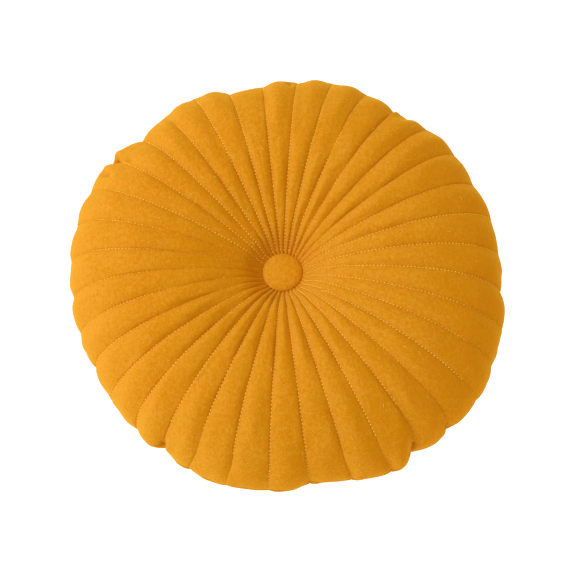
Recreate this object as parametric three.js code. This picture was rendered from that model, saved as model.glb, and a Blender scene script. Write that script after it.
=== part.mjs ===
// A round velvet pumpkin cushion, lying on its back.
// Channels run from a covered button in the middle of each face to the edge seam,
// and the filling puffs up into a lobe between every two of them.
// Millimetres, +Z up. Z = 0 is the surface that the cushion rests on, with the middle
// of its outline over the origin. -Y is the side nearest the viewer.

import * as THREE from 'three';

// Size of the whole cushion
const RADIUS = 200;
const REST_HEIGHT = 49;       // from the resting plane up to the edge seam
const LOBES = 36;
const FIRST_SEAM = -10.8;     // degrees from +X, anticlockwise

// Half section of each face, from the button out to the edge: a dimple up to the crown
// circle, then an elliptic shoulder. Heights are measured from the edge seam's plane.
// The rows of points on a shoulder are angles up from the edge seam, in degrees.
const FRONT = {
  crown: 58,
  crownRadius: 120,
  dimple: 36,
  curve: 2.15,
  shoulderRows: [11, 22, 34, 46, 58, 74, 90],
};
const BACK = {
  crown: 52.5,
  crownRadius: 116,
  dimple: 25,
  curve: 2.1,
  shoulderRows: [13, 28, 44, 60, 74, 90],
};

// Lobes
const CHANNEL_DEPTH = 4.6;    // from the top of a lobe to its seam, between crown and shoulder
const CHANNEL_FULL = 100;     // radius at which a channel has reached that depth
const LOBE_POWER = 2.6;       // 2 is a parabola, and more gives a fuller lobe
const EDGE_REACH = 0.55;      // how far up the shoulder the depth at the edge is felt, 0 to 1
const EDGE_DEPTH = 1.4;       // depth of an ordinary channel where it meets the edge seam
const EDGE_SEAM = { depth: 2.6, lip: 4 };

// Buttons and the pits that they sit in
const BUTTON = { radius: 18.5, height: 10.2 };
const GAP = 0.45;
const PIT_RADIUS = BUTTON.radius + GAP;
const PIT_LIP = 20.6;         // radius at which the gathered cover turns down into the pit
const FRONT_BUTTON_TOP = 19;
const BACK_BUTTON_FACE = -24;
const BUTTON_STEPS = 48;

// The outline isn't a true circle: each wave swells it by `swell` mm, `count` times round,
// with its first swelling at `towards` degrees.
const OUTLINE_WAVES = [
  { count: 1, swell: 2.8, towards: 13 },
  { count: 2, swell: 3.4, towards: -50.5 },
  { count: 3, swell: 0.9, towards: 50 },
  { count: 4, swell: 1.9, towards: -37 },
  { count: 5, swell: 1.1, towards: 23 },
];

// Places where the outline is pressed in by `depth` mm, or pushed out where it is below 0,
// fading over `width` degrees to either side.
const OUTLINE_DENTS = [
  { towards: 49, width: 7, depth: 4.5 },
  { towards: 83, width: 4, depth: 2.5 },
  { towards: 94, width: 6, depth: 9 },
  { towards: 127, width: 7, depth: 6.5 },
  { towards: 148, width: 5, depth: 1.5 },
  { towards: 173, width: 6, depth: 2 },
  { towards: 233, width: 5, depth: 2.5 },
  { towards: 262, width: 5, depth: -2 },
  { towards: 274, width: 8, depth: 4 },
  { towards: 293, width: 6, depth: -3 },
  { towards: 322, width: 7, depth: -2 },
];

// The seams aren't evenly spaced either: each wave turns them by `turn` degrees.
const SEAM_WAVES = [
  { count: 1, turn: 0.6, towards: -109 },
  { count: 2, turn: 0.63, towards: 71 },
  { count: 3, turn: 0.27, towards: 53 },
  { count: 4, turn: 0.26, towards: 23 },
];

// Channels that bite deeper, or hardly at all, where they meet the edge.
// `seam` counts anticlockwise from FIRST_SEAM, and `bite` is the depth in mm.
const EDGE_BITES = [
  { seam: 0, bite: 4.0 },
  { seam: 3, bite: 2.6 },
  { seam: 4, bite: 2.2 },
  { seam: 6, bite: 4.6 },
  { seam: 8, bite: 2.2 },
  { seam: 9, bite: 2.1 },
  { seam: 11, bite: 6.4 },
  { seam: 12, bite: 0.5 },
  { seam: 13, bite: 0.5 },
  { seam: 14, bite: 6.2 },
  { seam: 15, bite: 2.8 },
  { seam: 18, bite: 0.5 },
  { seam: 19, bite: 3.0 },
  { seam: 20, bite: 2.4 },
  { seam: 21, bite: 5.0 },
  { seam: 24, bite: 7.0 },
  { seam: 25, bite: 2.4 },
  { seam: 28, bite: 3.8 },
  { seam: 31, bite: 7.2 },
  { seam: 32, bite: 4.0 },
  { seam: 34, bite: 1.8 },
];

// Places across a lobe, from one seam (0) towards the next (1), at which points are set.
// The wide outer part has more of them than the dimple, and the foot of a pit has two.
const LOBE_COLUMNS = {
  outer: [0, 0.1, 0.3, 0.5, 0.7, 0.9],
  dimple: [0, 0.25, 0.5, 0.75],
  pit: [0, 0.5],
};

// Radii of the rows of points inside the crown circle.
const CROWN_ROWS = [100, 80];
const DIMPLE_ROWS = [62, 48, 36, 27];

// Colours and finish
const VELVET = { color: 0xd88c1b, roughness: 0.86, metalness: 0 };
const BUTTON_VELVET = { color: 0xd2861a, roughness: 0.84, metalness: 0 };

const radians = THREE.MathUtils.degToRad;
const circle = 2 * Math.PI;

const biteAtSeam = new Array(LOBES).fill(EDGE_DEPTH);
for (const { seam, bite } of EDGE_BITES) biteAtSeam[seam] = bite;

// Angle of a seam, or of a place between two seams, in radians.
function turnOf(place) {
  const even = radians(FIRST_SEAM) + (circle * place) / LOBES;
  let turn = 0;
  for (const wave of SEAM_WAVES) {
    turn += wave.turn * Math.cos(wave.count * (even - radians(wave.towards)));
  }
  return even + radians(turn);
}

// Share by which the outline is wider or narrower than a true circle at this angle.
function outlineSwell(angle) {
  let swell = 0;
  for (const wave of OUTLINE_WAVES) {
    swell += wave.swell * Math.cos(wave.count * (angle - radians(wave.towards)));
  }
  for (const dent of OUTLINE_DENTS) {
    const away = angle - radians(dent.towards);
    const nearest = away - circle * Math.round(away / circle);
    swell -= dent.depth * Math.exp(-((nearest / radians(dent.width)) ** 2));
  }
  return swell / RADIUS;
}

// A point on the half section through the top of a lobe, with the outward normal there.
function shoulderPoint(face, degrees) {
  const up = radians(degrees);
  const reach = RADIUS - face.crownRadius;
  const normal = new THREE.Vector2(Math.cos(up) / reach, Math.sin(up) / face.crown).normalize();
  return {
    radius: face.crownRadius + reach * Math.cos(up),
    height: face.crown * Math.sin(up),
    normal,
    nearEdge: Math.max(0, 1 - Math.sin(up) / EDGE_REACH),
  };
}

function dimplePoint(face, radius) {
  const span = face.crownRadius - BUTTON.radius;
  const inward = (face.crownRadius - radius) / span;
  const slope = (face.dimple * face.curve * inward ** (face.curve - 1)) / span;
  return {
    radius,
    height: face.crown - face.dimple * inward ** face.curve,
    normal: new THREE.Vector2(-slope, 1).normalize(),
    nearEdge: 0,
  };
}

// Depth of a channel below the tops of the lobes beside it.
function channelDepth(spot, seam) {
  const opening = Math.min(1, spot.radius / CHANNEL_FULL);
  const inside = CHANNEL_DEPTH * Math.sin((Math.PI / 2) * opening);
  const edge = biteAtSeam[seam % LOBES];
  const share = spot.nearEdge * spot.nearEdge * (3 - 2 * spot.nearEdge);
  return inside + (edge - inside) * share;
}

// Where the covers lie at one place across a lobe, as a point in the object's frame.
// `side` is 1 on the front face and -1 on the back.
function coverPoint(side, spot, lobe, across, pressedIn) {
  const seam = across < 0.5 ? lobe : lobe + 1;
  const hollow = Math.abs(2 * across - 1) ** LOBE_POWER;
  const drop = channelDepth(spot, seam) * hollow + pressedIn;
  const angle = turnOf(lobe + across);
  const widening = 1 + outlineSwell(angle) * (spot.radius / RADIUS);
  const radius = (spot.radius - spot.normal.x * drop) * widening;
  const height = REST_HEIGHT + side * (spot.height - spot.normal.y * drop);
  return [radius * Math.cos(angle), radius * Math.sin(angle), Math.max(0, height)];
}

// A row of points right round the cushion, with the place of each one round the circle.
function coverRow(side, spot, columns, pressedIn = 0) {
  const row = [];
  for (let lobe = 0; lobe < LOBES; lobe++) {
    for (const across of columns) {
      row.push({ place: lobe + across, point: coverPoint(side, spot, lobe, across, pressedIn) });
    }
  }
  return row;
}

// A round row, at the foot of a button's pit.
function pitRow(radius, height) {
  const row = [];
  for (let lobe = 0; lobe < LOBES; lobe++) {
    for (const across of LOBE_COLUMNS.pit) {
      const angle = turnOf(lobe + across);
      const point = [radius * Math.cos(angle), radius * Math.sin(angle), REST_HEIGHT + height];
      row.push({ place: lobe + across, point });
    }
  }
  return row;
}

// All rows of one face, from just beside the edge seam to the foot of the pit wall.
function faceRows(side, face, floor) {
  const { outer, dimple } = LOBE_COLUMNS;
  const lip = Math.asin(EDGE_SEAM.lip / face.crown);
  const rows = [coverRow(side, shoulderPoint(face, THREE.MathUtils.radToDeg(lip)), outer)];
  for (const degrees of face.shoulderRows) {
    rows.push(coverRow(side, shoulderPoint(face, degrees), outer));
  }
  for (const radius of CROWN_ROWS) rows.push(coverRow(side, dimplePoint(face, radius), outer));
  for (const radius of DIMPLE_ROWS) rows.push(coverRow(side, dimplePoint(face, radius), dimple));
  rows.push(coverRow(side, dimplePoint(face, PIT_LIP), dimple));
  rows.push(pitRow(PIT_RADIUS, floor));
  return rows;
}

// Joins two rows with triangles, going round both in step. The rows may differ in count.
function joinRows(faces, first, second) {
  let a = 0;
  let b = 0;
  const placeOf = (row, index) => row[index % row.length].place + (index >= row.length ? LOBES : 0);
  while (a < first.length || b < second.length) {
    const nextA = a < first.length ? placeOf(first, a + 1) : Infinity;
    const nextB = b < second.length ? placeOf(second, b + 1) : Infinity;
    const cornerA = first[a % first.length].index;
    const cornerB = second[b % second.length].index;
    if (nextA <= nextB) {
      faces.push(cornerA, first[(a + 1) % first.length].index, cornerB);
      a += 1;
    } else {
      faces.push(cornerA, second[(b + 1) % second.length].index, cornerB);
      b += 1;
    }
  }
}

// The cushion: both faces, the edge seam between them and the two pits, as one closed skin.
function cushionGeometry(frontFloor, backFloor) {
  const { outer } = LOBE_COLUMNS;
  const seamRow = coverRow(1, shoulderPoint(FRONT, 0), outer, EDGE_SEAM.depth);
  const rows = [
    ...faceRows(-1, BACK, backFloor).reverse(),
    seamRow,
    ...faceRows(1, FRONT, frontFloor),
  ];
  const positions = [];
  for (const row of rows) {
    for (const corner of row) {
      corner.index = positions.length / 3;
      positions.push(...corner.point);
    }
  }
  const faces = [];
  for (let i = 0; i + 1 < rows.length; i++) joinRows(faces, rows[i], rows[i + 1]);

  const capPit = (row, height, facesUp) => {
    const middle = positions.length / 3;
    positions.push(0, 0, REST_HEIGHT + height);
    row.forEach((corner, i) => {
      const next = row[(i + 1) % row.length];
      if (facesUp) faces.push(middle, corner.index, next.index);
      else faces.push(middle, next.index, corner.index);
    });
  };
  capPit(rows[rows.length - 1], frontFloor, true);
  capPit(rows[0], backFloor, false);

  const geometry = new THREE.BufferGeometry();
  geometry.setAttribute('position', new THREE.Float32BufferAttribute(positions, 3));
  geometry.setIndex(faces);
  geometry.computeVertexNormals();
  return geometry;
}

// A covered button, its flat back at Z = 0 and its domed face up.
function buttonGeometry() {
  const { radius, height } = BUTTON;
  const profile = [
    { out: 0, up: 0 },
    { out: 0.86, up: 0 },
    { out: 0.97, up: 0.1 },
    { out: 1, up: 0.3 },
    { out: 0.98, up: 0.5 },
    { out: 0.9, up: 0.71 },
    { out: 0.74, up: 0.87 },
    { out: 0.52, up: 0.95 },
    { out: 0.26, up: 0.99 },
    { out: 0, up: 1 },
  ];
  const outline = profile.map(({ out, up }) => new THREE.Vector2(out * radius, up * height));
  const geometry = new THREE.LatheGeometry(outline, BUTTON_STEPS);
  geometry.rotateX(Math.PI / 2);
  return geometry;
}

function velvetMesh(name, geometry, finish) {
  const mesh = new THREE.Mesh(geometry, new THREE.MeshStandardMaterial(finish));
  mesh.name = name;
  return mesh;
}

const frontBack = FRONT_BUTTON_TOP - BUTTON.height;
const backBack = BACK_BUTTON_FACE + BUTTON.height;

const cushion = velvetMesh('cushion', cushionGeometry(frontBack - GAP, backBack + GAP), VELVET);

const frontButton = velvetMesh('button_front', buttonGeometry(), BUTTON_VELVET);
frontButton.position.z = REST_HEIGHT + frontBack;

const backButton = velvetMesh('button_back', buttonGeometry(), BUTTON_VELVET);
backButton.rotation.x = Math.PI;
backButton.position.z = REST_HEIGHT + backBack;

// The buttons' axis is the middle of the channels. The whole is then shifted, so that the
// middle of its outline is over the origin.
const pumpkinCushion = new THREE.Group();
pumpkinCushion.add(cushion, frontButton, backButton);
const outlineBox = new THREE.Box3().setFromObject(cushion);
const middle = outlineBox.getCenter(new THREE.Vector3());
pumpkinCushion.position.set(-middle.x, -middle.y, 0);
pumpkinCushion.updateMatrixWorld(true);

export default pumpkinCushion;
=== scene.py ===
import itertools
import math

import bpy
import numpy as np
from mathutils import Matrix, Vector
from mathutils.bvhtree import BVHTree


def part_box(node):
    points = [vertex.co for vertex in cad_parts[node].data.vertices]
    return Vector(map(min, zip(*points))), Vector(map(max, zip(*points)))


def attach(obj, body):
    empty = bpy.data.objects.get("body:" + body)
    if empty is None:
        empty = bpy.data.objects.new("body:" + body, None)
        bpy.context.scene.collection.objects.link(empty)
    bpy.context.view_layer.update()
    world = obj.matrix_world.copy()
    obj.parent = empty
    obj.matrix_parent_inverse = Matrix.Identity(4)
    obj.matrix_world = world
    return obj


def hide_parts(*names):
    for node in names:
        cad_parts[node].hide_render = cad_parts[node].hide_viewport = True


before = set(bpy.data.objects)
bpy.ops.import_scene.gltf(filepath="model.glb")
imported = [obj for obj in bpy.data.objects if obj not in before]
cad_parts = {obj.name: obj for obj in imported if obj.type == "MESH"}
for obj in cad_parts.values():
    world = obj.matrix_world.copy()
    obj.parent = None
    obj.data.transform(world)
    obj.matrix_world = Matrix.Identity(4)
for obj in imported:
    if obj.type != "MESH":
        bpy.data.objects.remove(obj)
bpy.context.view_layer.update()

# A round mustard velvet cushion on its back. Sizes are in millimetres, as on a cutting
# list, and inMetres turns them into Blender's metres.
inMetres = 0.001
turn = 2 * math.pi
print("frame loaded")

# The button's axis, where all the channels meet, comes from the frame
buttonLow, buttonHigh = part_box("button_front")
backButtonLow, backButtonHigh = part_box("button_back")
axisX = (buttonLow.x + buttonHigh.x) / 2 / inMetres
axisY = (buttonLow.y + buttonHigh.y) / 2 / inMetres
buttonRadius = (buttonHigh.x - buttonLow.x) / 2 / inMetres


# The cushion's shape

cushion = {
    "lobes": 36,
    "radius": 200.0,
    "restHeight": 49.0,          # from the floor up to the edge seam
    "firstSeam": -10.8,          # degrees from +X
    "front": {"crown": 58.0, "crownRadius": 120.0, "dimple": 36.0, "curve": 2.15,
              "shoulderRows": 17, "dimpleRows": 20},
    "back": {"crown": 52.5, "crownRadius": 116.0, "dimple": 25.0, "curve": 2.1,
             "shoulderRows": 11, "dimpleRows": 10},
    "channelDepth": 4.9,
    "channelFull": 100.0,        # radius where a channel has its full depth
    "lobePower": 2.15,           # higher is flatter on top and steeper at the seam
    "lobePowerInside": 2.0,      # the same beside the button
    "edgeReach": 0.55,
    "edgeDepth": 1.4,
    "edgeSeam": 2.6,
    "edgeLip": 4.0,
    "lipRadius": 17.9,
    "lipPull": 6.8,              # how far the tie draws the cloth down round the button
    "lipReach": 10.0,
    "pitSteps": [(17.7, 0.8), (17.4, 2.0), (17.2, 3.8)],   # radius, depth below the lip
    "pitGap": 0.3,               # between the button's underside and the pit's floor
    "pitGather": 0.35,           # how much of the channels is left in the pit's wall
    "rowSpacing": 1.2,           # above 1 sets the dimple's rows closer by the button
    "acrossLobe": [0.0, 0.03, 0.09, 0.2, 0.35, 0.5, 0.65, 0.8, 0.91, 0.97],
}

# Swellings of the outline: how many round, how much, towards which angle
outlineWaves = [
    (1, 2.8, 13), (2, 3.4, -50.5), (3, 0.9, 50), (4, 1.9, -37), (5, 1.1, 23),
]
# Pressed-in places: angle, width to either side, depth, which pushes out below 0
outlineDents = [
    (9.5, 3, -1.4), (31, 4, -1.2), (49, 7, 4.5), (63, 4, -1.4), (70, 4, -1.8), (77.5, 2, 1.4),
    (83, 4, 2.5), (94, 6, 9.0), (109, 3, -1.6), (127, 7, 6.5), (148, 5, 0.4), (162, 6, 1.4),
    (173, 6, 2.0), (233, 5, 2.5), (238, 3, -1.6), (250, 4, -1.8), (262, 5, -1.0), (274, 8, 4.0),
    (282, 3, -1.2), (289.5, 4, -1.6), (293, 6, -3.0), (298, 3, 2.5), (300.5, 2, 1.6),
    (322, 7, -1.4), (339, 6, -1.4),
]
# Uneven spacing of the seams: how many round, degrees, towards which angle
seamWaves = [(1, 0.6, -109), (2, 0.63, 71), (3, 0.27, 53), (4, 0.26, 23)]
# Seams that bite more or less than most where they meet the edge: seam, depth
edgeBites = [
    (0, 4.0), (3, 2.6), (4, 2.2), (6, 4.6), (8, 0.8), (9, 2.1), (11, 6.4), (12, 0.5),
    (13, 0.5), (14, 4.8), (15, 4.6), (18, 1.6), (19, 3.0), (20, 2.4), (21, 5.0),
    (23, 3.6), (24, 7.0), (25, 4.4), (28, 3.8), (30, 2.0), (31, 5.5), (32, 3.8), (34, 1.8),
]
# Seams that bend sideways towards the edge: seam, degrees
edgeShifts = [
    (5, 1.1), (14, -0.7), (23, 1.2), (25, -1.8), (26, -1.4), (27, -0.5), (29, 0.8), (30, 0.9),
    (31, -2.7), (32, -1.1),
]
# How deep the channels are beside the button, as a share: seam, share, even in between
dimpleDepths = [
    (0, 0.6), (4, 0.75), (7, 1.03), (12, 1.0), (15, 0.62), (18, 0.38), (21, 0.6), (24, 1.03),
    (28, 1.03), (32, 0.75), (36, 0.6),
]

biteAtSeam = np.full(cushion["lobes"], cushion["edgeDepth"])
for seam, bite in edgeBites:
    biteAtSeam[seam] = bite
shiftAtSeam = np.zeros(cushion["lobes"] + 1)
for seam, degrees in edgeShifts:
    shiftAtSeam[seam] = degrees
depthAtSeam = np.interp(np.arange(cushion["lobes"]), *zip(*dimpleDepths))


# Angle of a place round the cushion, where place counts in lobes
def angleOfPlace(place):
    even = math.radians(cushion["firstSeam"]) + turn * place / cushion["lobes"]
    shift = 0
    for count, size, towards in seamWaves:
        shift = shift + size * np.cos(count * (even - math.radians(towards)))
    return even + np.radians(shift)


def outlineSwell(angle):
    swell = 0
    for count, size, towards in outlineWaves:
        swell = swell + size * np.cos(count * (angle - math.radians(towards)))
    for towards, width, depth in outlineDents:
        away = angle - math.radians(towards)
        away = away - turn * np.round(away / turn)
        swell = swell - depth * np.exp(-((away / math.radians(width)) ** 2))
    return swell / cushion["radius"]


# One row of the half section: radius, height, outward normal, and how near the edge it is
def shoulderRow(face, degrees):
    up = math.radians(degrees)
    reach = cushion["radius"] - face["crownRadius"]
    normal = Vector((math.cos(up) / reach, math.sin(up) / face["crown"])).normalized()
    return {"radius": face["crownRadius"] + reach * math.cos(up),
            "height": face["crown"] * math.sin(up),
            "normal": normal,
            "nearEdge": max(0.0, 1 - math.sin(up) / cushion["edgeReach"])}


def dimpleRow(face, radius):
    span = face["crownRadius"] - buttonRadius
    inward = (face["crownRadius"] - radius) / span
    slope = face["dimple"] * face["curve"] * inward ** (face["curve"] - 1) / span
    fromLip = (radius - cushion["lipRadius"]) / cushion["lipReach"]
    pull = cushion["lipPull"] * math.exp(-fromLip ** 2)
    slope = slope + 2 * fromLip * pull / cushion["lipReach"]
    return {"radius": radius,
            "height": face["crown"] - face["dimple"] * inward ** face["curve"] - pull,
            "normal": Vector((-slope, 1)).normalized(),
            "nearEdge": 0.0}


def channelDepth(row, place):
    opening = min(1.0, row["radius"] / cushion["channelFull"])
    inside = cushion["channelDepth"] * math.sin(math.pi / 2 * opening)
    seam = np.round(place).astype(int) % cushion["lobes"]
    inside = inside * (1 - (1 - depthAtSeam[seam]) * (1 - opening ** 2))
    share = row["nearEdge"] ** 2 * (3 - 2 * row["nearEdge"])
    return inside + (biteAtSeam[seam] - inside) * share


# How far down each point of a row lies between the crest, 0, and the seam, 1
def hollowShare(row, place):
    across = place - np.floor(place)
    power = np.interp(row["radius"], (cushion["lipRadius"], cushion["channelFull"]),
                      (cushion["lobePowerInside"], cushion["lobePower"]))
    return np.abs(2 * across - 1) ** power


# Points of one row of the cover, side 1 on the front and -1 on the back
def coverPoints(side, row, place, pressedIn=0.0, flatter=0.0):
    hollow = hollowShare(row, place)
    drop = channelDepth(row, place) * hollow + pressedIn + flatter * (1 - hollow)
    shift = np.interp(place, np.arange(len(shiftAtSeam)), shiftAtSeam)
    angle = angleOfPlace(place) + np.radians(shift) * row["nearEdge"]
    widening = 1 + outlineSwell(angle) * row["radius"] / cushion["radius"]
    radius = (row["radius"] - row["normal"].x * drop) * widening
    height = cushion["restHeight"] + side * (row["height"] - row["normal"].y * drop)
    return np.stack([axisX + radius * np.cos(angle), axisY + radius * np.sin(angle),
                     np.maximum(height, 0.0)], axis=1)


# A round row inside a button's pit, still a little gathered where it leaves the lip
def pitPoints(side, face, radius, below, gathered, place):
    lip = dimpleRow(face, cushion["lipRadius"])
    drop = channelDepth(lip, place) * hollowShare(lip, place)
    angle = angleOfPlace(place)
    out = radius + gathered * drop * cushion["pitGather"]
    height = cushion["restHeight"] + side * (lip["height"] - below - gathered * drop)
    return np.stack([axisX + out * np.cos(angle), axisY + out * np.sin(angle), height], axis=1)


def faceRows(side, face, pitFloor, place, flatter):
    rows = []
    lipAngle = math.degrees(math.asin(cushion["edgeLip"] / face["crown"]))
    for degrees in np.linspace(lipAngle, 90, face["shoulderRows"]):
        rows.append(coverPoints(side, shoulderRow(face, degrees), place, 0.0, flatter))
    span = face["crownRadius"] - cushion["lipRadius"]
    for step in range(1, face["dimpleRows"] + 1):
        inward = 1 - (1 - step / face["dimpleRows"]) ** cushion["rowSpacing"]
        row = dimpleRow(face, face["crownRadius"] - span * inward)
        rows.append(coverPoints(side, row, place, 0.0, flatter * (1 - inward)))
    for index, (radius, below) in enumerate(cushion["pitSteps"]):
        gathered = 1 - (index + 1) / (len(cushion["pitSteps"]) + 1)
        rows.append(pitPoints(side, face, radius, below, gathered, place))
    lip = dimpleRow(face, cushion["lipRadius"])
    deep = side * (cushion["restHeight"] + side * lip["height"] - pitFloor)
    rows.append(pitPoints(side, face, radius, deep, 0.0, place))
    return rows


# Joins rows of points into one closed skin, with a point in the middle of each end
def closedSkin(rows, firstMiddle, lastMiddle):
    count = len(rows[0])
    points = np.concatenate([*rows, [firstMiddle], [lastMiddle]])
    faces = []
    for i in range(len(rows) - 1):
        for j in range(count):
            k = (j + 1) % count
            faces.append((i * count + j, i * count + k, (i + 1) * count + k, (i + 1) * count + j))
    last = (len(rows) - 1) * count
    for j in range(count):
        k = (j + 1) % count
        faces.append((len(points) - 2, k, j))
        faces.append((len(points) - 1, last + j, last + k))
    return points, faces


def newMesh(name, points, faces, smooth=True):
    mesh = bpy.data.meshes.new(name)
    mesh.from_pydata((np.asarray(points) * inMetres).tolist(), [], faces)
    mesh.update()
    if smooth:
        mesh.polygons.foreach_set("use_smooth", [True] * len(mesh.polygons))
    return mesh


def newPiece(name, points, faces, smooth=True):
    piece = bpy.data.objects.new(name, newMesh(name, points, faces, smooth))
    bpy.context.scene.collection.objects.link(piece)
    return piece


def pointsOf(mesh):
    points = np.zeros(len(mesh.vertices) * 3)
    mesh.vertices.foreach_get("co", points)
    return points.reshape(-1, 3) / inMetres


def normalsOf(mesh):
    normals = np.zeros(len(mesh.vertices) * 3)
    mesh.vertex_normals.foreach_get("vector", normals)
    return normals.reshape(-1, 3)


def setPoints(mesh, points):
    mesh.vertices.foreach_set("co", (points * inMetres).ravel())
    mesh.update()


# How the filling blows the lobes up between their seams

filling = {
    "letDown": 0.6,              # how much flatter the lobes are laid out before that
    "pressure": 4.0,
    "slack": 0.012,              # extra cloth, as a share
    "stiffness": 12.0,
    "bending": 1.2,
    "frames": 20,
    "quality": 4,
    "floorTouch": 0.05,          # points lower than this rest on the floor
    "mostRise": 3.0,
    "evening": 4,                # passes that even the rise out along each channel
}
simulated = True
letDown = filling["letDown"] if simulated else 0.0

places = (np.arange(cushion["lobes"])[:, None] + np.array(cushion["acrossLobe"])).ravel()
frontPit = buttonLow.z / inMetres - cushion["pitGap"]
backPit = backButtonHigh.z / inMetres + cushion["pitGap"]
backRows = faceRows(-1, cushion["back"], backPit, places, letDown)
frontRows = faceRows(1, cushion["front"], frontPit, places, letDown)
seamRow = coverPoints(1, shoulderRow(cushion["front"], 0), places, cushion["edgeSeam"])
coverRows = [*reversed(backRows), seamRow, *frontRows]
coverSkin = closedSkin(coverRows, (axisX, axisY, backPit), (axisX, axisY, frontPit))
cover = newPiece("cushion_cover", *coverSkin)
print("cover laid out:", len(cover.data.vertices), "points")


# Points that the sewing, the buttons and the floor hold still
def heldPoints(rows):
    held = np.zeros((len(rows), len(places)), bool)
    held[:, ::len(cushion["acrossLobe"])] = True
    inPit = len(cushion["pitSteps"]) + 2   # with the lip and the pit's floor
    held[:inPit] = True
    held[-inPit:] = True
    held[len(backRows)] = True
    held[np.stack(rows)[:, :, 2] < filling["floorTouch"]] = True
    return [*np.flatnonzero(held).tolist(), held.size, held.size + 1]


def fillCover(piece, held):
    group = piece.vertex_groups.new(name="held")
    group.add(held, 1.0, "REPLACE")
    cloth = piece.modifiers.new("filling", "CLOTH")
    cloth.settings.quality = filling["quality"]
    cloth.settings.vertex_group_mass = group.name
    cloth.settings.use_pressure = True
    cloth.settings.uniform_pressure_force = filling["pressure"]
    cloth.settings.effector_weights.gravity = 0.0
    cloth.settings.shrink_min = -filling["slack"]
    cloth.settings.tension_stiffness = filling["stiffness"]
    cloth.settings.compression_stiffness = filling["stiffness"]
    cloth.settings.bending_stiffness = filling["bending"]
    cloth.collision_settings.use_collision = False
    cloth.point_cache.frame_end = filling["frames"]
    for step in range(1, filling["frames"] + 1):
        bpy.context.scene.frame_set(step)
    shown = piece.evaluated_get(bpy.context.evaluated_depsgraph_get())
    laidOut = pointsOf(piece.data)
    move = pointsOf(shown.data) - laidOut
    rows = move[:-2].reshape(len(coverRows), len(places), 3)
    for _ in range(filling["evening"]):
        rows[1:-1] = (rows[:-2] + 2 * rows[1:-1] + rows[2:]) / 4
    piece.modifiers.clear()
    piece.vertex_groups.clear()
    bpy.context.scene.frame_set(1)
    far = np.linalg.norm(move, axis=1) + 1e-6   # never quite 0, as it divides below
    kept = filling["mostRise"] * np.tanh(far / filling["mostRise"]) / far
    points = laidOut + move * kept[:, None]
    points[:, 2] = np.maximum(points[:, 2], 0.0)
    setPoints(piece.data, points)
    print("cover filled: lobes rose up to %.1f mm, %.1f on average" % (far.max(), far.mean()))


if simulated:
    fillCover(cover, heldPoints(coverRows))


# Fine shape of the cover: the thread's bite, uneven filling, and gathers at the edge

relief = {
    "crease": 0.22,              # how far the thread pulls the pile down
    "creaseWidth": 1.0,
    "uneven": 0.6,
    "unevenSize": 34.0,
    "unevenSeed": 11,
    "pucker": 0.14,              # little puckers beside each seam, one to a few stitches
    "puckerSize": 6.0,
    "puckerSeed": 12,
    "puckerReach": 8.0,
    "puckerAt": 0.35,            # share of that reach where they are strongest
    "puckerSpread": 0.3,
    "gather": 0.8,               # gathers along the edge seam
    "gatherSize": 10.0,
    "gatherSeed": 13,
    "gatherReach": 15.0,
    "gatherTall": 0.35,          # below 1 draws the gathers out up and down
    "buttonFade": 6.0,           # none of this beside the button
    "floorFade": 3.0,            # or where the cushion rests
}
# The table that smooth noise reads, and the steps that give each seam and face other noise
noise = {
    "entries": 8192,
    "strides": (1619, 31337, 6971),
    "seamStep": 40.0,
    "seamFaceStep": 90.0,
    "gatherFaceStep": 20.0,
}
# Where the stitches end or sink short of the edge, which most do 9 degrees up the shoulder
seamEnds = {"usual": 9.0, "fade": 7.0}
earlyEnds = {
    12: 26, 13: 48, 14: 30, 15: 40, 16: 48, 17: 45, 18: 44, 19: 41, 20: 50, 24: 40, 25: 48,
    26: 36, 29: 38, 30: 44, 31: 52, 32: 58, 33: 32, 34: 24,
}
# Folds pressed into the edge: degrees round, height above the edge seam, lean in degrees,
# half length, half width and depth, which pushes out below 0
edgeFolds = [
    (138.5, 20, -8, 9, 2.4, 4.4), (135.9, 23, 0, 9, 4.0, -2.6), (141.0, 25, 0, 8, 3.2, -1.4),
    (143.4, 28, 10, 9, 2.8, 5.4), (136.9, 39, 0, 2.2, 2.2, 3.0), (132.0, 30, 0, 10, 5.0, 1.2),
    (229.4, 4, 4, 11, 2.4, 4.0), (231.8, 14, 6, 9, 2.4, -1.2), (281.2, 6, 0, 12, 3.0, 1.6),
    (290.8, 10, -6, 12, 3.4, 2.4), (298.6, 11, 24, 4, 1.9, 4.0), (297.0, 10, 0, 12, 2.2, 2.0),
    (293.8, 12, 0, 12, 3.2, -1.6), (301.4, 18, 0, 10, 3.2, -1.4), (308.2, 14, -8, 12, 2.4, 2.6),
    (304.8, 10, 10, 9, 3.2, 1.2), (315.5, 12, 0, 10, 3.0, 1.2), (81.2, 27, 0, 6, 2.2, 2.6),
    (45.6, 20, 0, 16, 5.5, 3.0), (48.8, 22, 0, 12, 2.4, -2.6),
    (20.4, 16, 0, 12, 3.2, 1.2), (352.0, 10, 0, 12, 4.0, 1.0),
]


# Smooth noise from -1 to 1 with bumps of the given size, the same on every run
def smoothNoise(points, size, seed):
    table = np.random.default_rng(seed).uniform(-1, 1, noise["entries"])
    cell = np.floor(points / size).astype(int)
    part = points / size - cell
    blend = part ** 3 * (10 - 15 * part + 6 * part ** 2)
    total = np.zeros(len(points))
    for corner in itertools.product((0, 1), repeat=3):
        spot = cell + corner
        entry = (spot * noise["strides"]).sum(axis=1) % len(table)
        share = np.where(corner, blend, 1 - blend).prod(axis=1)
        total += table[entry] * share
    return total


def smoothStep(value):
    value = np.clip(value, 0, 1)
    return value * value * (3 - 2 * value)


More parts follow.
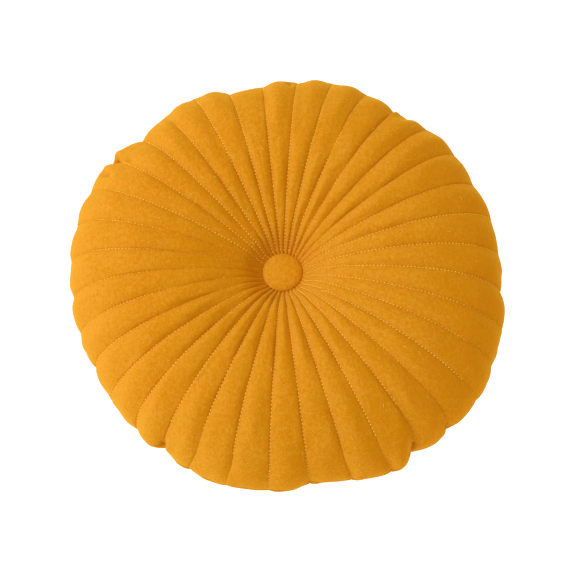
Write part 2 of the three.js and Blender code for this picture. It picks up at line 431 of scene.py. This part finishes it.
# Distance to the nearest seam, and where each point lies round the cover
def layOfPoints(points, at):
    away = points[:, :2] - (axisX, axisY)
    radius = np.hypot(away[:, 0], away[:, 1])
    angle = np.arctan2(away[:, 1], away[:, 0])
    distance = np.abs(at - np.round(at)) * turn * radius / cushion["lobes"]
    return {"radius": radius, "angle": angle, "at": at, "fromSeam": distance,
            "height": points[:, 2] - cushion["restHeight"]}


# 1 where a seam is sewn through, fading to 0 past the end of its stitches
def sewnShare(lay):
    ends = np.full(cushion["lobes"], seamEnds["usual"])
    for seam, degrees in earlyEnds.items():
        ends[seam] = degrees
    end = ends[np.round(lay["at"]).astype(int) % cushion["lobes"]]
    upFront = lay["height"] / cushion["front"]["crown"]
    upBack = -lay["height"] / cushion["back"]["crown"]
    up = np.degrees(np.arcsin(np.clip(np.maximum(upFront, upBack), 0, 1)))
    onFront = lay["height"] > 0
    end = np.where(onFront, end, seamEnds["usual"])
    crest = np.where(onFront, cushion["front"]["crownRadius"], cushion["back"]["crownRadius"])
    return np.where(lay["radius"] < crest, 1.0, smoothStep((up - end) / seamEnds["fade"] + 0.5))


def foldMove(lay):
    move = np.zeros(len(lay["angle"]))
    for towards, up, lean, length, width, depth in edgeFolds:
        away = lay["angle"] - math.radians(towards)
        away = away - turn * np.round(away / turn)
        sideways = away * lay["radius"]
        rise = lay["height"] - up
        along = rise * math.cos(math.radians(lean)) + sideways * math.sin(math.radians(lean))
        across = sideways * math.cos(math.radians(lean)) - rise * math.sin(math.radians(lean))
        move -= depth * np.exp(-((across / width) ** 2)) * np.exp(-((along / length) ** 4))
    return move * (lay["radius"] > cushion["front"]["crownRadius"])


# A point halfway between each two, on a smooth curve through four
def halfway(before, first, second, after):
    return (9 * (first + second) - before - after) / 16


# The grid of points with twice the rows and twice the columns
def finerGrid(grid):
    count, across, _ = grid.shape
    around = halfway(np.roll(grid, 1, axis=1), grid, np.roll(grid, -1, axis=1),
                     np.roll(grid, -2, axis=1))
    wide = np.stack([grid, around], axis=2).reshape(count, across * 2, 3)
    padded = np.concatenate([2 * wide[:1] - wide[1:2], wide, 2 * wide[-1:] - wide[-2:-1]])
    between = halfway(padded[:-3], padded[1:-2], padded[2:-1], padded[3:])
    rows = np.stack([wide[:-1], between], axis=1).reshape(-1, across * 2, 3)
    return np.concatenate([rows, wide[-1:]])


# The place of each of those columns, in lobes
def finerPlaces():
    whole = cushion["lobes"]
    padded = np.concatenate([[places[-1] - whole], places, places[:2] + whole])
    between = halfway(padded[:-3], padded[1:-2], padded[2:-1], padded[3:])
    return np.stack([places, between], axis=1).ravel()


def shapeCover(piece):
    grid = finerGrid(pointsOf(piece.data)[:-2].reshape(len(coverRows), len(places), 3))
    rough = piece.data
    ends = ((axisX, axisY, backPit), (axisX, axisY, frontPit))
    piece.data = newMesh(piece.name, *closedSkin(list(grid), *ends))
    bpy.data.meshes.remove(rough)
    points = pointsOf(piece.data)
    normals = normalsOf(piece.data)
    lay = layOfPoints(points, np.concatenate([np.tile(finerPlaces(), len(grid)), [0, 0]]))
    sewn = sewnShare(lay)
    onCover = smoothStep((lay["radius"] - cushion["lipRadius"]) / relief["buttonFade"])
    resting = np.clip(points[:, 2] / relief["floorFade"], 0, 1)
    away = np.clip(lay["fromSeam"] / relief["puckerReach"], 0, 1)
    crease = -relief["crease"] * sewn * np.exp(-((lay["fromSeam"] / relief["creaseWidth"]) ** 2))
    uneven = relief["uneven"] * smoothNoise(points, relief["unevenSize"],
                                            relief["unevenSeed"])
    side = np.sign(lay["height"])
    flank = np.round(lay["at"] * 2)
    alongSeam = np.stack([lay["radius"], flank * noise["seamStep"],
                          side * noise["seamFaceStep"]], axis=1)
    pucker = relief["pucker"] * smoothNoise(alongSeam, relief["puckerSize"],
                                            relief["puckerSeed"])
    fromCrest = (away - relief["puckerAt"]) / relief["puckerSpread"]
    pucker = pucker * sewn * np.exp(-fromCrest ** 2)
    edge = np.exp(-((lay["height"] / relief["gatherReach"]) ** 2))
    edge = edge * (lay["radius"] > cushion["radius"] / 2)
    lobeWidth = turn * cushion["radius"] / cushion["lobes"]
    around = np.stack([lay["at"] * lobeWidth, side * noise["gatherFaceStep"],
                       lay["height"] * relief["gatherTall"]], axis=1)
    gather = relief["gather"] * edge * smoothNoise(around, relief["gatherSize"],
                                                   relief["gatherSeed"])
    move = (crease + uneven * away + pucker + gather + foldMove(lay)) * onCover * resting
    points = points + normals * move[:, None]
    points[:, 2] = np.maximum(points[:, 2], 0.0)
    setPoints(piece.data, points)


shapeCover(cover)
print("cover shaped:", sum(len(face.vertices) - 2 for face in cover.data.polygons), "triangles")


# Topstitching in the channels

stitching = {
    "pitch": 3.3,
    "length": 2.05,
    "thickness": 0.82,
    "rise": 0.74,
    "unevenRise": 0.16,
    "lengthSpread": (0.9, 1.06),
    "shake": 0.12,               # how far a stitch bends to either side
    "flatness": 0.8,
    "sides": 6,
    "firstStitch": 1.5,          # from the lip round the button
    "lineStep": 2.0,             # along a seam's line, in degrees on the shoulder
    "seed": 36,
}
# How deep the thread has sunk into the pile on the front: by the button, halfway, at its end
sunkSeams = {
    0: (0.0, 0.3, 0.6), 1: (-0.15, 0.3, 0.6), 2: (0.2, 0.35, 0.5), 3: (0.6, 0.8, 1.0),
    4: (0.9, 1.05, 1.2), 5: (0.9, 1.05, 1.2), 6: (0.7, 0.85, 1.0), 7: (0.5, 0.65, 0.8),
    8: (0.2, 0.45, 0.7), 9: (0.0, 0.25, 0.5), 10: (0.4, 0.5, 0.6), 11: (0.1, 0.2, 0.3),
    12: (0.2, 0.3, 0.4), 13: (0.6, 0.7, 0.4), 14: (0.2, 0.0, 0.0), 15: (0.4, 0.8, 0.2),
    16: (0.5, 0.6, -0.1), 17: (0.8, 1.1, -0.1), 18: (0.8, 1.2, -0.1), 19: (1.2, 1.3, -0.1),
    20: (1.2, 1.0, 0.1), 21: (1.0, 0.9, 0.2), 22: (0.9, 0.7, 0.3), 23: (0.9, 0.6, 0.3),
    24: (0.8, 0.5, 0.0), 25: (0.8, 0.5, 0.2), 26: (0.7, 0.4, 0.1), 27: (0.6, 0.5, 0.3),
    28: (0.5, 0.4, 0.3), 29: (0.3, 0.4, 0.7), 30: (0.1, -0.1, 0.2), 31: (-0.2, 0.2, 0.6),
    32: (0.1, 0.5, 0.9), 33: (-0.2, -0.1, 0.1), 34: (0.1, 0.5, 0.8), 35: (-0.15, 0.5, 0.9),
}
# Sections of one stitch: along it, thickness, and height, as shares
stitchShape = [(0.0, 0.45, -0.5), (0.18, 0.9, 0.45), (0.5, 1.0, 1.0), (0.82, 0.9, 0.45),
               (1.0, 0.45, -0.5)]


# The line of one seam on one face, from the button out to where its stitches end
def seamLine(side, face, seam):
    place = np.array([float(seam)])
    radii = np.arange(cushion["lipRadius"] + stitching["firstStitch"], face["crownRadius"],
                      stitching["lineStep"])
    points = [coverPoints(side, dimpleRow(face, radius), place)[0] for radius in radii]
    last = earlyEnds.get(seam, seamEnds["usual"]) if side > 0 else seamEnds["usual"]
    for degrees in np.arange(90, last, -stitching["lineStep"]):
        points.append(coverPoints(side, shoulderRow(face, degrees), place)[0])
    return np.array(points)


def pointsAlong(line, spots):
    steps = np.linalg.norm(np.diff(line, axis=0), axis=1)
    length = np.concatenate([[0], np.cumsum(steps)])
    return np.stack([np.interp(spots, length, line[:, axis]) for axis in range(3)], axis=1)


def lineLength(line):
    return np.linalg.norm(np.diff(line, axis=0), axis=1).sum()


def addStitch(points, faces, start, end, outward, shake, sunk):
    along = (end - start).normalized()
    sideways = along.cross(outward).normalized()
    lift = sideways.cross(along).normalized()
    first = len(points)
    half = stitching["thickness"] / 2
    for share, thick, high in stitchShape:
        middle = start.lerp(end, share) + lift * (stitching["rise"] * high - sunk)
        middle = middle + sideways * (shake * math.sin(math.pi * share))
        for corner in range(stitching["sides"]):
            angle = turn * corner / stitching["sides"]
            spot = sideways * math.cos(angle) + lift * (math.sin(angle) * stitching["flatness"])
            points.append(middle + spot * (half * thick))
    sides = stitching["sides"]
    for ring in range(len(stitchShape) - 1):
        for corner in range(sides):
            other = (corner + 1) % sides
            low = first + ring * sides
            faces.append((low + corner, low + other, low + sides + other, low + sides + corner))
    faces.append(tuple(first + corner for corner in reversed(range(sides))))
    final = first + (len(stitchShape) - 1) * sides
    faces.append(tuple(final + corner for corner in range(sides)))


def sewFace(name, side, face, surface):
    random = np.random.default_rng(stitching["seed"] + side)
    points = []
    faces = []
    for seam in range(cushion["lobes"]):
        line = seamLine(side, face, seam)
        offset = random.uniform(0, stitching["pitch"])
        starts = np.arange(offset, lineLength(line) - stitching["length"], stitching["pitch"])
        lengths = stitching["length"] * random.uniform(*stitching["lengthSpread"], len(starts))
        shakes = random.uniform(-stitching["shake"], stitching["shake"], len(starts))
        sunkTo = sunkSeams[seam] if side > 0 else (0.0, 0.0, 0.0)
        depths = np.interp(np.linspace(0, 1, len(starts)), (0, 0.5, 1), sunkTo)
        depths = depths + stitching["unevenRise"] * random.uniform(-1, 1, len(starts))
        heads = pointsAlong(line, starts)
        tails = pointsAlong(line, starts + lengths)
        for head, tail, shake, sunk in zip(heads, tails, shakes, depths):
            start, outward, *_ = surface.find_nearest(Vector(head))
            end, endOutward, *_ = surface.find_nearest(Vector(tail))
            upward = Vector((0, 0, side)) + (outward + endOutward) * 0.5
            addStitch(points, faces, start, end, upward.normalized(), shake, sunk)
    piece = newPiece(name, [tuple(point) for point in points], faces)
    facesEach = (len(stitchShape) - 1) * stitching["sides"] + 2
    print(name, "has", len(faces) // facesEach, "stitches")
    return piece


coverPolygons = [tuple(polygon.vertices) for polygon in cover.data.polygons]
coverSurface = BVHTree.FromPolygons([Vector(p) for p in pointsOf(cover.data)], coverPolygons)
frontStitches = sewFace("stitching_front", 1, cushion["front"], coverSurface)
backStitches = sewFace("stitching_back", -1, cushion["back"], coverSurface)


# Covered buttons

button = {
    "segments": 120,
    "rings": 26,
    "underRings": 5,
    "underTaper": 0.1,           # how much narrower the button is where it sits in the cloth
    "widestAt": 0.55,            # share of its height where it is widest
    "domePower": 2.0,
    "domeRound": 0.5,
    "pleats": 26,                # small folds where the cloth turns under the rim
    "pleatDepth": 0.16,
    "pleatFrom": 0.72,           # share of the radius where they begin
    "pleatDrift": 2.0,           # how uneven their spacing is, and how often round
    "pleatDriftCount": 3,
    "soft": 0.12,
    "softSize": 7.0,
    "softStep": 40.0,
    "softSeed": 14,
}


def makeButton(name, low, high, facesUp, offset):
    height = (high.z - low.z) / inMetres
    widest = height * button["widestAt"]
    middleX = (low.x + high.x) / 2 / inMetres
    middleY = (low.y + high.y) / 2 / inMetres
    angles = np.arange(button["segments"]) * turn / button["segments"]
    profile = []
    for step in range(1, button["underRings"] + 1):
        share = step / button["underRings"]
        profile.append((buttonRadius * (1 - button["underTaper"] * (1 - share)), widest * share))
    for step in range(1, button["rings"]):
        share = math.sin(math.pi / 2 * (1 - step / button["rings"]))
        dome = (1 - share ** button["domePower"]) ** button["domeRound"]
        profile.append((buttonRadius * share, widest + (height - widest) * dome))
    rows = []
    for radius, up in profile:
        rim = max(0.0, radius / buttonRadius - button["pleatFrom"]) / (1 - button["pleatFrom"])
        drift = button["pleatDrift"] * np.sin(button["pleatDriftCount"] * angles + offset)
        fold = np.cos(button["pleats"] * angles + drift)
        wave = button["pleatDepth"] * rim ** 2 * fold
        x, y = np.cos(angles), np.sin(angles)
        spots = np.stack([x * radius, y * radius, np.full(len(x), up)], axis=1)
        swell = button["soft"] * smoothNoise(spots + offset * button["softStep"],
                                             button["softSize"], button["softSeed"])
        out = radius + (wave - button["pleatDepth"]) * (radius / buttonRadius)
        rise = up + swell * min(1.0, up / height)
        rows.append(np.stack([out * x, out * y, np.minimum(rise, height)], axis=1))
    points, faces = closedSkin(rows, (0, 0, 0), (0, 0, height))
    if facesUp:
        points = points + (middleX, middleY, low.z / inMetres)
    else:
        points = points * (1, -1, -1) + (middleX, middleY, high.z / inMetres)
    return newPiece(name, points, faces)


frontButton = makeButton("button_front_cover", buttonLow, buttonHigh, True, 0.0)
backButton = makeButton("button_back_cover", backButtonLow, backButtonHigh, False, 2.0)
print("buttons covered")


# Lint caught in the pile

lint = {
    "count": 60,
    "length": (0.9, 3.6),
    "thickness": 0.28,
    "steps": 5,
    "sides": 4,
    "spread": (35.0, 190.0),
    "dropFrom": 200.0,           # height from which each fibre falls on the cover
    "seed": 7,
    "bend": 0.9,                 # turn along a fibre, in radians
    "rest": 0.12,                # how far a fibre lies off the pile
    "arch": 0.5,
    "dark": (1.0, 0.64, 0.08),
    "light": (1.0, 0.80, 0.19),
    "darkAt": 0.3,
    "lightAt": 0.7,
    "fleckScale": 300.0,
    "fleckDetail": 2,
    "roughness": 0.8,
    "gloss": 0.03,
}


def scatterLint(surface):
    random = np.random.default_rng(lint["seed"])
    points = []
    faces = []
    for _ in range(lint["count"]):
        angle = random.uniform(0, turn)
        radius = random.uniform(*lint["spread"])
        above = Vector((axisX + radius * math.cos(angle), axisY + radius * math.sin(angle),
                        lint["dropFrom"]))
        hit, outward, *_ = surface.ray_cast(above, Vector((0, 0, -1)))
        if hit is None:
            continue
        heading = Vector((random.normal(), random.normal(), 0))
        heading = (heading - outward * heading.dot(outward)).normalized()
        bend = random.uniform(-lint["bend"], lint["bend"])
        length = random.uniform(*lint["length"])
        first = len(points)
        for step in range(lint["steps"]):
            share = step / (lint["steps"] - 1)
            turned = Matrix.Rotation(bend * share, 3, outward) @ heading
            lift = lint["rest"] + lint["arch"] * math.sin(math.pi * share) * abs(bend)
            middle = hit + turned * (length * share) + outward * lift
            sideways = turned.cross(outward).normalized()
            for corner in range(lint["sides"]):
                way = turn * corner / lint["sides"]
                spot = sideways * math.cos(way) + outward * math.sin(way)
                points.append(middle + spot * (lint["thickness"] / 2))
        sides = lint["sides"]
        for ring in range(lint["steps"] - 1):
            for corner in range(sides):
                other = (corner + 1) % sides
                low = first + ring * sides
                faces.append((low + corner, low + sides + corner, low + sides + other,
                              low + other))
        faces.append(tuple(first + corner for corner in range(sides)))
        final = first + (lint["steps"] - 1) * sides
        faces.append(tuple(final + corner for corner in reversed(range(sides))))
    return newPiece("lint", [tuple(point) for point in points], faces)


lintFibres = scatterLint(coverSurface)
print("lint scattered")


# Materials

velvet = {
    "deep": (0.585, 0.197, 0.0010),
    "middle": (0.63, 0.233, 0.0056),
    "light": (0.69, 0.290, 0.0215),
    "paintedLightFrom": (-0.98, 0.17, 0.0),   # painted light: slopes that face the key light, to the left, are painted paler and yellower, and slopes facing away deeper
    "paintedLightShift": 0.14,
    "deepAt": 0.395,             # where each tone lies in the mix of noise and painted light
    "middleAt": 0.5,
    "lightAt": 0.605,
    "patchScale": 30.0,          # noise scales count per metre
    "patchDetail": 3,
    "patchShare": 0.08,
    "mottleScale": 400.0,
    "mottleDetail": 4,
    "mottleRough": 0.6,
    "mottleShare": 0.36,
    "brushed": (1.0, 0.6, 1.0),  # flecks are longer the way that the nap runs
    "pileScale": 1000.0,
    "pileDetail": 2,
    "pileRough": 0.7,
    "pileShare": 0.56,
    "sheen": 0.31,
    "sheenRoughness": 0.45,
    "sheenTint": (1.0, 0.74, 0.06, 1.0),
    "roughness": 0.95,
    "gloss": 0.02,               # the pile has next to no shine of its own
    "pileDepth": 0.0004,         # depths of the bumps, in metres
    "pileStrength": 0.5,
    "mottleDepth": 0.0007,
    "mottleStrength": 0.35,
    "coverTint": (1.0, 1.0, 1.0),
    "buttonTint": (1.04, 1.11, 1.3),
}


def nodeSetup(name):
    material = bpy.data.materials.new(name)
    material.use_nodes = True
    nodes = material.node_tree.nodes
    nodes.clear()
    output = nodes.new("ShaderNodeOutputMaterial")
    shader = nodes.new("ShaderNodeBsdfPrincipled")
    material.node_tree.links.new(shader.outputs["BSDF"], output.inputs["Surface"])
    return material, nodes, material.node_tree.links, shader


def addNoise(nodes, links, coordinates, scale, detail, roughness=0.55):
    texture = nodes.new("ShaderNodeTexNoise")
    texture.inputs["Scale"].default_value = scale
    texture.inputs["Detail"].default_value = detail
    texture.inputs["Roughness"].default_value = roughness
    links.new(coordinates, texture.inputs["Vector"])
    return texture.outputs["Fac"]


def addRamp(nodes, links, value, stops):
    ramp = nodes.new("ShaderNodeValToRGB")
    elements = ramp.color_ramp.elements
    elements[0].position, elements[0].color = stops[0]
    elements[1].position, elements[1].color = stops[-1]
    for position, color in stops[1:-1]:
        elements.new(position).color = color
    links.new(value, ramp.inputs["Fac"])
    return ramp.outputs["Color"]


def addMaths(nodes, links, operation, first, second):
    maths = nodes.new("ShaderNodeMath")
    maths.operation = operation
    for socket, value in zip(maths.inputs, (first, second)):
        if isinstance(value, (int, float)):
            socket.default_value = value
        else:
            links.new(value, socket)
    return maths.outputs["Value"]


def addBump(nodes, links, height, distance, strength, before=None):
    bump = nodes.new("ShaderNodeBump")
    bump.inputs["Distance"].default_value = distance
    bump.inputs["Strength"].default_value = strength
    links.new(height, bump.inputs["Height"])
    if before is not None:
        links.new(before, bump.inputs["Normal"])
    return bump.outputs["Normal"]


def opaque(color):
    return (*color, 1.0)


def makeVelvet(name, tint):
    material, nodes, links, shader = nodeSetup(name)
    onPiece = nodes.new("ShaderNodeTexCoord")
    coordinates = onPiece.outputs["Object"]
    brushed = nodes.new("ShaderNodeMapping")
    brushed.inputs["Scale"].default_value = velvet["brushed"]
    links.new(coordinates, brushed.inputs["Vector"])
    patches = addNoise(nodes, links, coordinates, velvet["patchScale"], velvet["patchDetail"])
    mottle = addNoise(nodes, links, brushed.outputs["Vector"], velvet["mottleScale"],
                      velvet["mottleDetail"], velvet["mottleRough"])
    pile = addNoise(nodes, links, coordinates, velvet["pileScale"], velvet["pileDetail"],
                    velvet["pileRough"])
    # Painted light: the colour goes paler and yellower where the surface faces the key light on
    # the left, and deeper where it faces away
    lean = nodes.new("ShaderNodeVectorMath")
    lean.operation = "DOT_PRODUCT"
    links.new(onPiece.outputs["Normal"], lean.inputs[0])
    lean.inputs[1].default_value = velvet["paintedLightFrom"]
    mixed = addMaths(nodes, links, "MULTIPLY", lean.outputs["Value"], velvet["paintedLightShift"])
    for value, share in ((patches, "patchShare"), (mottle, "mottleShare"), (pile, "pileShare")):
        part = addMaths(nodes, links, "MULTIPLY", value, velvet[share])
        mixed = addMaths(nodes, links, "ADD", mixed, part)
    tones = (("deep", "deepAt"), ("middle", "middleAt"), ("light", "lightAt"))
    stops = [(velvet[at], opaque(np.multiply(velvet[tone], tint))) for tone, at in tones]
    links.new(addRamp(nodes, links, mixed, stops), shader.inputs["Base Color"])
    normal = addBump(nodes, links, mottle, velvet["mottleDepth"], velvet["mottleStrength"])
    normal = addBump(nodes, links, pile, velvet["pileDepth"], velvet["pileStrength"], normal)
    links.new(normal, shader.inputs["Normal"])
    shader.inputs["Roughness"].default_value = velvet["roughness"]
    shader.inputs["Specular IOR Level"].default_value = velvet["gloss"]
    shader.inputs["Sheen Weight"].default_value = velvet["sheen"]
    shader.inputs["Sheen Roughness"].default_value = velvet["sheenRoughness"]
    shader.inputs["Sheen Tint"].default_value = velvet["sheenTint"]
    return material


thread = {
    "dark": (1.0, 0.56, 0.04),
    "light": (1.0, 0.73, 0.13),
    "darkAt": 0.3,
    "lightAt": 0.7,
    "twistScale": 900.0,
    "twistDetail": 2,
    "twistDepth": 0.0001,
    "twistStrength": 0.5,
    "roughness": 0.6,
    "gloss": 0.03,
    "sheen": 0.25,
    "sheenTint": (1.0, 0.66, 0.08, 1.0),
}


def makeThread(name):
    material, nodes, links, shader = nodeSetup(name)
    coordinates = nodes.new("ShaderNodeTexCoord").outputs["Object"]
    twist = addNoise(nodes, links, coordinates, thread["twistScale"], thread["twistDetail"])
    stops = [(thread["darkAt"], opaque(thread["dark"])),
             (thread["lightAt"], opaque(thread["light"]))]
    links.new(addRamp(nodes, links, twist, stops), shader.inputs["Base Color"])
    bump = addBump(nodes, links, twist, thread["twistDepth"], thread["twistStrength"])
    links.new(bump, shader.inputs["Normal"])
    shader.inputs["Roughness"].default_value = thread["roughness"]
    shader.inputs["Specular IOR Level"].default_value = thread["gloss"]
    shader.inputs["Sheen Weight"].default_value = thread["sheen"]
    shader.inputs["Sheen Tint"].default_value = thread["sheenTint"]
    return material


def makeLint(name):
    material, nodes, links, shader = nodeSetup(name)
    coordinates = nodes.new("ShaderNodeTexCoord").outputs["Object"]
    fleck = addNoise(nodes, links, coordinates, lint["fleckScale"], lint["fleckDetail"])
    stops = [(lint["darkAt"], opaque(lint["dark"])), (lint["lightAt"], opaque(lint["light"]))]
    links.new(addRamp(nodes, links, fleck, stops), shader.inputs["Base Color"])
    shader.inputs["Roughness"].default_value = lint["roughness"]
    shader.inputs["Specular IOR Level"].default_value = lint["gloss"]
    return material


coverVelvet = makeVelvet("cover_velvet", velvet["coverTint"])
buttonVelvet = makeVelvet("button_velvet", velvet["buttonTint"])
sewingThread = makeThread("sewing_thread")
lintMaterial = makeLint("lint_fibre")
for piece, material in (
    (cover, coverVelvet),
    (frontButton, buttonVelvet),
    (backButton, buttonVelvet),
    (frontStitches, sewingThread),
    (backStitches, sewingThread),
    (lintFibres, lintMaterial),
):
    piece.data.materials.append(material)
print("materials made")


# Floor, light and camera

studio = {
    "floorSize": 8.0,
    "floorColor": (0.93, 0.93, 0.93, 1.0),
    "floorGlow": 0.9,            # keeps the paper white all round, as in a light tent
    "floorRoughness": 0.9,
    "grainScale": 30.0,
    "grainDetail": 2,
    "grainDepth": 0.0002,
    "grainStrength": 0.1,
    "worldStrength": 0.79,
    "keyRound": 167.0,           # degrees round from +X, so from the viewer's left
    "keyDown": 41.0,             # degrees down from straight above
    "keyAway": 2.2,
    "keySize": 0.9,
    "keyPower": 21.8,
}


def makeFloor():
    half = studio["floorSize"] / 2 / inMetres
    corners = [(-half, -half, 0), (half, -half, 0), (half, half, 0), (-half, half, 0)]
    floor = newPiece("floor", corners, [(0, 1, 2, 3)], smooth=False)
    material, nodes, links, shader = nodeSetup("floor_paper")
    coordinates = nodes.new("ShaderNodeTexCoord").outputs["Object"]
    grain = addNoise(nodes, links, coordinates, studio["grainScale"], studio["grainDetail"])
    bump = addBump(nodes, links, grain, studio["grainDepth"], studio["grainStrength"])
    links.new(bump, shader.inputs["Normal"])
    shader.inputs["Base Color"].default_value = studio["floorColor"]
    shader.inputs["Roughness"].default_value = studio["floorRoughness"]
    shader.inputs["Emission Color"].default_value = studio["floorColor"]
    shader.inputs["Emission Strength"].default_value = studio["floorGlow"]
    floor.data.materials.append(material)
    return floor


# The key light, which leaves the floor alone so that its paper shows no hard shadow
def makeKey(floor):
    data = bpy.data.lights.new("key_left", "AREA")
    data.shape = "DISK"
    data.size = studio["keySize"]
    data.energy = studio["keyPower"]
    light = bpy.data.objects.new("key_left", data)
    towards = math.radians(studio["keyRound"])
    down = math.radians(studio["keyDown"])
    fromAim = Vector((math.sin(down) * math.cos(towards), math.sin(down) * math.sin(towards),
                      math.cos(down)))
    aim = Vector((axisX, axisY, cushion["restHeight"])) * inMetres
    light.location = aim + fromAim * studio["keyAway"]
    light.rotation_mode = "QUATERNION"
    light.rotation_quaternion = fromAim.to_track_quat("Z", "Y")
    bpy.context.scene.collection.objects.link(light)
    unlit = bpy.data.collections.new("not_lit_by_key")
    unlit.objects.link(floor)
    light.light_linking.receiver_collection = unlit
    unlit.collection_objects[0].light_linking.link_state = "EXCLUDE"


def makeWorld():
    world = bpy.data.worlds.new("studio_white")
    world.use_nodes = True
    background = world.node_tree.nodes["Background"]
    background.inputs["Color"].default_value = (1.0, 1.0, 1.0, 1.0)
    background.inputs["Strength"].default_value = studio["worldStrength"]
    bpy.context.scene.world = world


view = {
    "elevation": 70.0,
    "roll": 7.0,
    "distance": 1250.0,
    "lens": 85.6,
    "sensor": 36.0,
    "aimRight": 2.9,             # where the middle of the picture looks, beside the button
    "aimUp": -7.9,
}


def makeCamera():
    up = math.radians(view["elevation"])
    roll = math.radians(view["roll"])
    towards = Vector((0, -math.cos(up), math.sin(up)))
    levelRight = Vector((1, 0, 0))
    levelUp = Vector((0, math.sin(up), math.cos(up)))
    right = levelRight * math.cos(roll) - levelUp * math.sin(roll)
    upward = levelRight * math.sin(roll) + levelUp * math.cos(roll)
    aim = Vector((axisX, axisY, cushion["restHeight"]))
    aim = aim + right * view["aimRight"] + upward * view["aimUp"]
    data = bpy.data.cameras.new("camera")
    data.lens = view["lens"]
    data.sensor_width = view["sensor"]
    camera = bpy.data.objects.new("camera", data)
    camera.matrix_world = Matrix.Translation((aim + towards * view["distance"]) * inMetres) @ (
        Matrix((right, upward, towards)).transposed().to_4x4())
    bpy.context.scene.collection.objects.link(camera)
    bpy.context.scene.camera = camera


makeKey(makeFloor())
makeWorld()
makeCamera()
bpy.context.scene.view_settings.view_transform = "Standard"
print("studio set")


# Hand over to the frame

for piece in (cover, frontStitches, backStitches, frontButton, backButton, lintFibres):
    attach(piece, "root")
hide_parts("cushion")
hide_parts("button_front")
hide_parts("button_back")

print("cushion finished")
